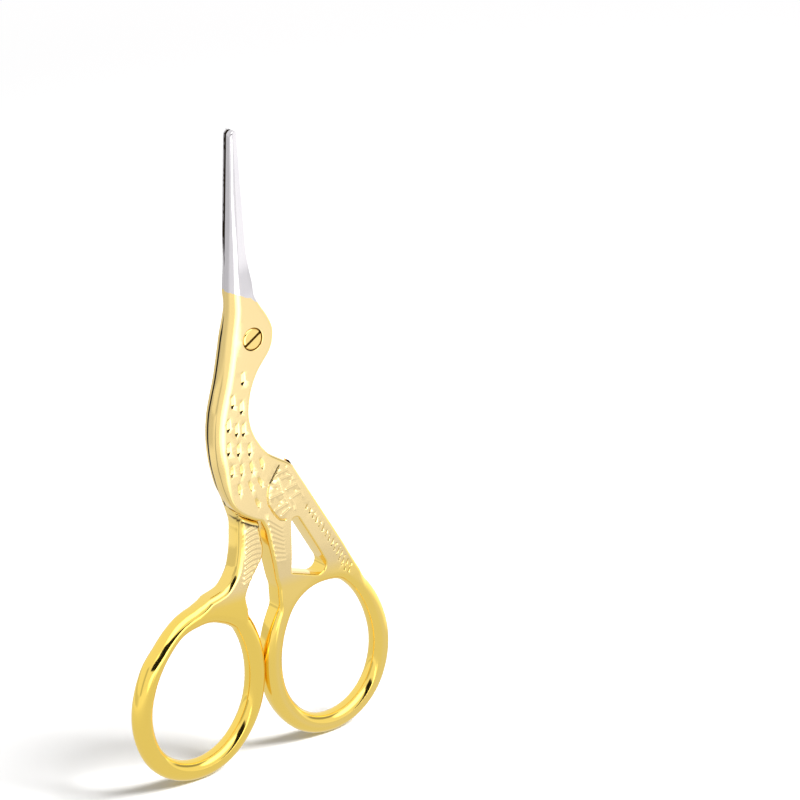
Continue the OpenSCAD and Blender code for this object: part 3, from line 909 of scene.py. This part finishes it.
def half(name, side, spine_side, outline, holes, step, step_r, well, ornament, inner_ornament, shade, gloss,
         material, z):
    """One half of the scissors as a closed mesh. side is -1 for the front half and 1 for the rear one.
    outline and holes bound it, step is the line where its full thickness begins, and well lists the eye's
    hole as [radius, depth from the sliding plane], from the face inwards."""
    parts = MeshParts()
    plain_loops = [outline] + holes
    eye = edged(turned_to(circle(well[0][0], z), False), 0.08, 0.08)
    rim = outer_sheet(parts, plain_loops + [eye], side, spine_side, ornament, shade, gloss, z)
    shared = sum(len(loop) for loop in plain_loops)

    ends = [int(np.hypot(*(outline[:, :2] - step[i]).T).argmin()) for i in (0, -1)]
    line = step.copy()
    line[0], line[-1] = outline[ends[0], :2], outline[ends[1], :2]
    run = thick_run(outline, ends)
    line_back = line if run[-1] == ends[0] else line[::-1]
    thick_loops = [np.vstack([outline[run, :2], line_back[1:-1]]), *holes]
    step_edge = edged(line_back, step_r, step_r)
    sides = [(outline[run], False), (step_edge, False), *((hole, True) for hole in holes)]

    bore = turned_to(circle(well[-1][0], z), False)
    inside = face_points(thick_loops, sides, INNER, inner_ornament)
    points = np.vstack([np.vstack(plain_loops)[:, :2], bore, line[1:-1], inside])
    border = shared + len(bore) + len(line) - 2
    line_numbers = np.r_[ends[0], shared + len(bore) + np.arange(len(line) - 2), ends[1]]
    line_edges = np.column_stack([line_numbers[:-1], line_numbers[1:]])
    edges = np.vstack([loop_edges(plain_loops), loop_edges([bore], shared), line_edges])
    faces = region_triangles(points, border, edges, plain_loops + [bore])
    on_border = (faces < border).all(1)
    is_thick = ~on_border
    is_thick[on_border] = is_inside(points[faces[on_border]].mean(1), thick_loops)

    drop, flat = rounded_drop(points, sides, INNER)
    depth = side * (inner_ornament(points) - drop - z.rim_r)
    # Painted shade on the rear half's inner side; the front half's inner side has none
    dark = inner_dark(points, sides, z) if side > 0 else 0.0
    thick = parts.add(points, depth, finish_of(points, flat, gloss, z), dark)
    on_layer = np.ones(len(outline), bool)
    on_layer[run] = False
    rows = layer_rows(parts, points[:border], outline, on_layer, side, gloss, z)
    layer = rows[-1]
    order = slice(None, None, -1) if side < 0 else slice(None)
    parts.fill(thick[faces[is_thick]][:, order])
    parts.fill(layer[faces[~is_thick]][:, order])

    a, b = loop_edges(plain_loops).T
    on_thick = np.isin(a * len(points) + b, edge_set(faces[is_thick], len(points)))
    at_end = on_thick & (np.isin(a, ends) | np.isin(b, ends))
    whole = on_thick & ~at_end
    parts.join(a[whole], b[whole], (rim, thick))
    parts.join(a[~on_thick], b[~on_thick], (rim, *rows))
    for i, j in zip(a[at_end], b[at_end]):
        corner = [layer[j], thick[j], thick[i]] if j in ends else [thick[j], thick[i], layer[i]]
        parts.fill([[rim[i], rim[j], *corner]])
    parts.join(*line_edges.T, (thick, layer))

    well_loops = [(turned_to(circle(radius, z), False), side * y) for radius, y in well[1:]]
    # The walls down the eye's recess are painted fully dark, as shade
    foot = parts.tube(rim[shared:], well_loops, 0.3, 1.0)
    parts.band(foot, layer[shared : shared + len(bore)])
    return parts.build(name, material)


def edge_set(faces, count):
    """All the sides of triangles, both ways round, each as one number."""
    a = faces[:, [0, 1, 2, 1, 2, 0]].ravel()
    b = faces[:, [1, 2, 0, 0, 1, 2]].ravel()
    return np.unique(a * count + b)


def thick_run(outline, ends):
    """The point numbers of the outline's stretch round the ring, between the two ends of the step line."""
    n = len(outline)
    runs = [(first + np.arange((last - first) % n + 1)) % n for first, last in (ends, ends[::-1])]
    return min(runs, key=lambda run: outline[run, 1].min())


def screw(material, z):
    """The eye screw: a slightly domed slotted head over a round shank that ends level with the rear
    face."""
    parts = MeshParts()
    radius, around, from_face = z.screw_head_d / 2, 96, 0.02
    rim = circle(radius, z, around)
    direction = np.array([math.cos(z.slot_angle), math.sin(z.slot_angle)])
    across = np.array([-direction[1], direction[0]])
    t = np.arange(-radius * 1.2, radius * 1.2, 0.12)[:, None]
    edge, beside = z.slot_w / 2, 0.02
    offsets = (-edge - beside, -edge, -edge + beside, edge - beside, edge, edge + beside, 0.0)
    lines = np.vstack([[z.eye_x, z.eye_z] + t * direction + offset * across for offset in offsets])
    rings = np.vstack([circle(radius - d, z, around) for d in (0.02, 0.06, 0.12, 0.2, 0.3, 0.42)])
    inside = np.vstack([rings, lines, grid(rim.min(0), rim.max(0), 0.22)])
    from_rim = radius - np.hypot(inside[:, 0] - z.eye_x, inside[:, 1] - z.eye_z)
    points = np.vstack([rim, inside[from_rim > 0.015]])
    q = points - [z.eye_x, z.eye_z]
    top = z.half_t - from_face + rounded_edge(radius - np.hypot(*q.T), 0.3)
    in_slot = smooth(edge + 0.01, edge - 0.01, np.abs(q @ across))
    height = top - np.clip(top - (z.half_t - z.slot_depth), 0, None) * in_slot
    faces = triangles_of(points, loop_edges([rim]).tolist())
    # Painted shade in the driver slot
    numbers = parts.add(points, -height, 0.5, 0.75 * in_slot)
    parts.fill(numbers[faces])
    under = z.screw_head_t - z.half_t
    shank_r, chamfer = z.shank_d / 2 - 0.01, 0.12
    rows = ((radius, under), (shank_r, under), (shank_r, z.half_t - chamfer),
            (shank_r - chamfer, z.half_t - from_face), (0.3 * shank_r, z.half_t))
    parts.fill([parts.tube(numbers[:around], [(circle(r, z, around), y) for r, y in rows])])
    return parts.build("screw_at_the_eye", material, 30)


# Materials


def new_material(name):
    """An empty node material."""
    material = bpy.data.materials.new(name)
    material.use_nodes = True
    return material


class Nodes:
    """A small helper that adds shader nodes and links them."""

    def __init__(self, tree):
        self.tree = tree
        tree.nodes.clear()

    def add(self, kind, settings=None, **inputs):
        """Adds a node. Settings are its properties. Inputs are values or output sockets, by socket name."""
        node = self.tree.nodes.new(kind)
        for key, value in (settings or {}).items():
            setattr(node, key, value)
        for key, value in inputs.items():
            self.set(node, key.replace("_", " "), value)
        return node

    def set(self, node, name, value):
        """Sets or links one input, named in any case, or numbered as in "0"."""
        if name.strip().isdigit():
            socket = node.inputs[int(name)]
        else:
            socket = next(s for s in node.inputs if s.name.lower() == name.lower() and s.enabled)
        if isinstance(value, bpy.types.NodeSocket):
            self.tree.links.new(value, socket)
        else:
            socket.default_value = value

    def math(self, operation, a, b=0.0):
        """One math node, and its output."""
        node = self.add("ShaderNodeMath", {"operation": operation})
        self.set(node, "0", a)
        self.set(node, "1", b)
        return node.outputs[0]

    def mix(self, factor, a, b, kind="RGBA"):
        """A mix of two colours or two numbers, and its output."""
        node = self.add("ShaderNodeMix", {"data_type": kind})
        pairs = {"RGBA": (6, 7, 2), "FLOAT": (2, 3, 0)}[kind]
        self.set(node, "0", factor)
        self.set(node, str(pairs[0]), a)
        self.set(node, str(pairs[1]), b)
        return node.outputs[pairs[2]]

    def ramp(self, value, low, high):
        """0 below low and 1 above high."""
        node = self.add("ShaderNodeMapRange", {"interpolation_type": "SMOOTHSTEP"}, Value=value,
                        From_Min=low, From_Max=high)
        return node.outputs[0]

    def dot(self, vector, direction):
        """The scalar product of a vector and a fixed direction."""
        node = self.add("ShaderNodeVectorMath", {"operation": "DOT_PRODUCT"},
                        **{"0": vector, "1": tuple(direction)})
        return node.outputs["Value"]

    def attribute(self, name):
        """The values of a mesh attribute."""
        return self.add("ShaderNodeAttribute", {"attribute_name": name}).outputs["Fac"]

    def output(self, shader, kind="Material"):
        """Links a shader to the output node."""
        out = self.add("ShaderNodeOutput" + kind)
        self.tree.links.new(shader.outputs[0], out.inputs["Surface"])

    def noise(self, position, scale, detail=3.0, stretch=(1, 1, 1)):
        """Noise in object space, in features per metre, drawn out along an axis where stretch is small."""
        mapping = self.add("ShaderNodeMapping", Vector=position, Scale=stretch)
        node = self.add("ShaderNodeTexNoise", Vector=mapping.outputs[0], Scale=scale, Detail=detail)
        return node.outputs["Fac"]


def rgba(colour_value):
    """A colour with full alpha."""
    return (*colour_value, 1.0)


def plated_metal(name, z):
    """Gold plating that turns into bare steel along the blades. The satin attribute says how pale and soft
    the plating is, and a second attribute darkens the colour towards black as painted shade in grooves,
    seams and recesses. The plating ends where z + 0.42 x + 0.2 max(x + 1.9, 0) passes its level, which
    follows the blades' grind."""
    finish = bpy.context.scene.stork_finish
    material = new_material(name)
    n = Nodes(material.node_tree)
    position = n.add("ShaderNodeTexCoord").outputs["Object"]
    axes = n.add("ShaderNodeSeparateXYZ", Vector=position).outputs
    satin = n.attribute("satin")
    crevice = n.attribute("crevice")
    cloud = n.noise(position, 260.0)
    grain = n.noise(position, 9000.0, 2.0, (1, 1, 0.12))
    pits = n.noise(position, 4200.0, 1.0)

    gold = n.mix(satin, rgba(finish.mirror_gold), rgba(finish.face_gold))
    warm = n.mix(n.math("MULTIPLY", cloud, 0.12), gold, (0.86, 0.58, 0.16, 1.0))
    wavy = n.math("MULTIPLY", n.noise(position, 900.0, 1.0), 0.0006)
    line = n.math("ADD", n.math("ADD", axes[2], n.math("MULTIPLY", axes[0], 0.42)), wavy)
    right = n.math("MAXIMUM", n.math("ADD", axes[0], 1.9 * MM), 0.0)
    line = n.math("ADD", line, n.math("MULTIPLY", right, 0.2))
    level = (z.plating_z - 0.81) * MM
    half_fade = 0.06 * MM
    bare = n.ramp(line, level - half_fade, level + half_fade)
    steel_tone = n.mix(cloud, rgba(finish.steel), (0.62, 0.6, 0.64, 1.0))
    # Painted shade: the second attribute mixes the colour towards near black
    base = n.mix(crevice, n.mix(bare, warm, steel_tone), (0.02, 0.014, 0.008, 1.0))

    gold_rough = n.mix(satin, finish.mirror_roughness, finish.face_roughness, "FLOAT")
    rough = n.mix(bare, n.math("ADD", gold_rough, n.math("MULTIPLY", pits, 0.04)),
                  n.math("ADD", 0.13, n.math("MULTIPLY", grain, 0.12)), "FLOAT")
    lift = n.math("ADD", n.math("MULTIPLY", pits, n.math("MULTIPLY", satin, 0.5)),
                  n.math("MULTIPLY", grain, n.math("MULTIPLY", bare, 0.6)))
    bump = n.add("ShaderNodeBump", Strength=0.25, Distance=0.00002, Height=lift)
    n.output(n.add("ShaderNodeBsdfPrincipled", Base_Color=base, Metallic=1.0, Roughness=rough,
                   Normal=bump.outputs[0]))
    return material


# Lanes of the floor in reflections, brighter as painted light or darker as painted shade where the
# strength is negative: azimuth, half angle and its softness, where it begins, and strength
FLOOR_LANES = (
    (4, 8, 6, 0.045, 0.6),
    (0, 25, 8, 0.09, 1.4),
    (-142, 50, 15, 0.1, -0.33),
    (118, 45, 12, 0.05, 0.3),
)
# Plain brightness of the floor in reflections, close to the object and far from it; the duller level close
# by is painted shade
FLOOR_NEAR = 0.82
FLOOR_LEVEL = 1.08


def floor_material():
    """A white floor with the object's soft shadow on it, which far off glows white by itself. In
    reflections it glows with painted light, brighter in lanes to the right and the front, as if a window
    lit them, with a painted dark lane behind on the left, and painted shade near the object."""
    material = new_material("white_floor")
    n = Nodes(material.node_tree)
    place = n.add("ShaderNodeTexCoord").outputs["Object"]
    far = n.add("ShaderNodeVectorMath", {"operation": "LENGTH"}, **{"0": place}).outputs["Value"]
    toward = n.add("ShaderNodeVectorMath", {"operation": "NORMALIZE"}, **{"0": place}).outputs["Vector"]
    shine = 0.0
    for azimuth, half_angle, soft, start, strength in FLOOR_LANES:
        along = n.dot(toward, heading(azimuth, 0))
        lane = n.ramp(along, cosine(half_angle + soft), cosine(half_angle - soft))
        lane = n.math("MULTIPLY", lane, n.ramp(far, start, 1.3 * start))
        shine = n.math("ADD", shine, n.math("MULTIPLY", lane, strength))
    plain = n.mix(n.ramp(far, 0.03, 0.13), FLOOR_NEAR, FLOOR_LEVEL, "FLOAT")
    glossy = n.add("ShaderNodeLightPath").outputs["Is Glossy Ray"]
    strength = n.mix(glossy, 1.0, n.math("ADD", plain, shine), "FLOAT")
    lit = n.add("ShaderNodeBsdfDiffuse", Color=(0.86, 0.86, 0.86, 1.0))
    mirrored = n.add("ShaderNodeEmission", Color=(1.0, 0.995, 0.997, 1.0), Strength=strength)
    both = n.add("ShaderNodeMixShader", Fac=n.math("MAXIMUM", glossy, n.ramp(far, 0.15, 0.5)))
    n.tree.links.new(lit.outputs[0], both.inputs[1])
    n.tree.links.new(mirrored.outputs[0], both.inputs[2])
    n.output(both)
    return material


# Operators


class STORK_OT_front_half(bpy.types.Operator):
    """Model the front half, with the right ring, the tail and the ornamented body"""

    bl_idname = "stork.front_half"
    bl_label = "Front Half"

    def execute(self, context):
        z = shape()
        outline, holes, step = front_loops(z)
        recess = z.screw_head_d / 2 + z.head_gap
        floor = z.half_t - z.screw_head_t - 0.02
        bore = z.shank_d / 2 + z.shank_clear
        well = [(recess, z.half_t), (recess, floor), (bore, floor)]
        piece = half("stork_front_half", FRONT, -1, outline, holes, step, z.edge_r, well,
                     lambda p: front_ornament(p, z), lambda p: tail_ornament(p, z),
                     lambda p: front_dark(p, z), 0.3, plated_metal("plated_front_half", z), z)
        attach(piece, "front")
        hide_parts("front_half")
        return {"FINISHED"}


class STORK_OT_rear_half(bpy.types.Operator):
    """Model the rear half, with the left ring and the ribbed left leg"""

    bl_idname = "stork.rear_half"
    bl_label = "Rear Half"

    def execute(self, context):
        z = shape()
        outline, holes, step = rear_loops(z)
        well = [(z.shank_d / 2, z.half_t)]
        piece = half("stork_rear_half", REAR, 1, outline, holes, step, z.ledge_r, well,
                     lambda p: feather_depth(p, z)[0], lambda p: left_leg_ribs(p, z),
                     lambda p: feather_depth(p, z)[1], 0.0, plated_metal("plated_rear_half", z), z)
        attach(piece, "rear")
        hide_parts("rear_half")
        return {"FINISHED"}


class STORK_OT_pivot_screw(bpy.types.Operator):
    """Model the slotted screw at the eye"""

    bl_idname = "stork.pivot_screw"
    bl_label = "Eye Screw"

    def execute(self, context):
        z = shape()
        piece = screw(plated_metal("plated_screw", z), z)
        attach(piece, "rear")
        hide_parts("pivot_screw")
        return {"FINISHED"}


class STORK_OT_stage(bpy.types.Operator):
    """Set up the white floor, the soft lamps, the reflections and the camera"""

    bl_idname = "stork.stage"
    bl_label = "Stage"

    def execute(self, context):
        make_floor()
        make_lamps()
        make_world()
        make_camera()
        context.scene.view_settings.view_transform = "Standard"
        return {"FINISHED"}


def make_floor():
    """A wide flat floor at the height that the rings stand on."""
    mesh = bpy.data.meshes.new("floor")
    size = 6.0
    corners = [(-size, -size, 0), (size, -size, 0), (size, size, 0), (-size, size, 0)]
    mesh.from_pydata(corners, [], [(0, 1, 2, 3)])
    mesh.materials.append(floor_material())
    floor = bpy.data.objects.new("floor", mesh)
    bpy.context.scene.collection.objects.link(floor)


def area_lamp(name, place, aim, size, power):
    """A square area lamp at a place, aimed at a point, in metres and watts."""
    lamp = bpy.data.lights.new(name, "AREA")
    lamp.shape, lamp.size, lamp.energy = "SQUARE", size, power
    holder = bpy.data.objects.new(name, lamp)
    holder.location = place
    holder.rotation_euler = (Vector(aim) - Vector(place)).to_track_quat("-Z", "Y").to_euler()
    bpy.context.scene.collection.objects.link(holder)
    return holder


def make_lamps():
    """A large soft lamp above the right, which throws the shadows to the left."""
    lamp = area_lamp("softbox", (0.36, -0.3, 0.5), (0, 0, 0.02), 0.32, 9.5)
    lamp.visible_glossy = False


def heading(azimuth, elevation):
    """A direction from its azimuth (0 is the front, 90 the right) and its elevation, in degrees."""
    a, e = math.radians(azimuth), math.radians(elevation)
    return np.array([math.sin(a) * math.cos(e), -math.cos(a) * math.cos(e), math.sin(e)])


def cosine(angle):
    """The cosine of an angle in degrees."""
    return math.cos(math.radians(angle))


def card(n, direction, start, end, half_w, soft):
    """A straight card in the room, between two headings: 1 on it, 0 off it, with soft edges in degrees."""
    a, b = heading(*start), heading(*end)
    middle = unit(a + b)
    half_l = math.degrees(math.acos(float(a @ middle)))
    off = n.math("ABSOLUTE", n.dot(direction, unit(np.cross(a, b))))
    wide = n.ramp(off, math.sin(math.radians(half_w + soft)), math.sin(math.radians(max(half_w - soft, 0))))
    ends = n.ramp(n.dot(direction, middle), cosine(half_l + soft), cosine(max(half_l - soft, 0)))
    return n.math("MULTIPLY", wide, ends)


# Brightness of the room in reflections, and of the light on the floor
ROOM = 1.0
DAYLIGHT = 0.45
# The window: two headings, half width and softness of the edge, and how much brighter it is
WINDOW = ((-45, 38), (45, 41), 18, 6)
WINDOW_LIGHT = 1.8
# Dark cards in the room: two headings, half width, softness of the edge and darkness
CARDS = (
    ((-42, 24), (17, -4), 8.0, 1.5, 0.985),
    ((46, 60), (76, 8), 9.0, 5.0, 0.6),
    ((-82, 30), (-78, -20), 8.0, 6.0, 0.4),
)


def make_world():
    """Soft even light, and for what the metal mirrors a white room with a bright window and dark cards."""
    world = bpy.data.worlds.new("studio")
    bpy.context.scene.world = world
    world.use_nodes = True
    n = Nodes(world.node_tree)
    direction = n.add("ShaderNodeTexCoord").outputs["Generated"]
    level = n.math("ADD", ROOM, n.math("MULTIPLY", card(n, direction, *WINDOW), WINDOW_LIGHT))
    for *place, dark in CARDS:
        keep = n.math("SUBTRACT", 1.0, n.math("MULTIPLY", card(n, direction, *place), dark))
        level = n.math("MULTIPLY", level, keep)
    path = n.add("ShaderNodeLightPath").outputs
    mirrored = n.mix(path["Is Glossy Ray"], DAYLIGHT, level, "FLOAT")
    strength = n.mix(path["Is Camera Ray"], mirrored, 1.0, "FLOAT")
    n.output(n.add("ShaderNodeBackground", Color=(1.0, 1.0, 1.0, 1.0), Strength=strength), "World")


# The camera, as fitted to the photograph: its turn, tip and roll in degrees, and its place in mm to the
# right, up and back along its own axes
CAMERA_ANGLES = (38.23, 20.67, -0.81)
CAMERA_PLACE = (19.47, 51.19, 434.6)


def make_camera():
    """The camera at the photograph's place: turned round the object, looking down, with a long lens."""
    turn, tip, roll = np.radians(CAMERA_ANGLES)
    back = np.array([-math.sin(turn) * math.cos(tip), -math.cos(turn) * math.cos(tip), math.sin(tip)])
    right = np.array([math.cos(turn), -math.sin(turn), 0.0])
    up = np.cross(back, right)
    right, up = (math.cos(roll) * right + math.sin(roll) * up, math.cos(roll) * up - math.sin(roll) * right)
    place = np.array(CAMERA_PLACE) @ [right, up, back] * MM
    camera = bpy.data.cameras.new("camera")
    camera.sensor_width = 36.0
    camera.lens = 134.6
    camera.clip_start = 0.01
    camera.clip_end = 20.0
    holder = bpy.data.objects.new("camera", camera)
    axes = Matrix((right, up, back)).transposed()
    holder.matrix_world = Matrix.Translation(place) @ axes.to_4x4()
    bpy.context.scene.collection.objects.link(holder)
    bpy.context.scene.camera = holder


class STORK_PT_panel(bpy.types.Panel):
    """The list of pieces in the sidebar"""

    bl_label = "Stork Scissors"
    bl_idname = "STORK_PT_panel"
    bl_space_type = "VIEW_3D"
    bl_region_type = "UI"
    bl_category = "Stork"

    def draw(self, context):
        for operator in OPERATORS:
            self.layout.operator(operator.bl_idname)


OPERATORS = (STORK_OT_stage, STORK_OT_front_half, STORK_OT_rear_half, STORK_OT_pivot_screw)
CLASSES = (StorkSizes, StorkFinish, *OPERATORS, STORK_PT_panel)


def register():
    for cls in CLASSES:
        bpy.utils.register_class(cls)
    bpy.types.Scene.stork_sizes = PointerProperty(type=StorkSizes)
    bpy.types.Scene.stork_finish = PointerProperty(type=StorkFinish)


def unregister():
    del bpy.types.Scene.stork_finish
    del bpy.types.Scene.stork_sizes
    for cls in reversed(CLASSES):
        bpy.utils.unregister_class(cls)


def main():
    """Registers the add-on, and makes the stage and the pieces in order."""
    register()
    bpy.ops.stork.stage()
    bpy.ops.stork.front_half()
    bpy.ops.stork.rear_half()
    bpy.ops.stork.pivot_screw()


if __name__ == "__main__":
    main()
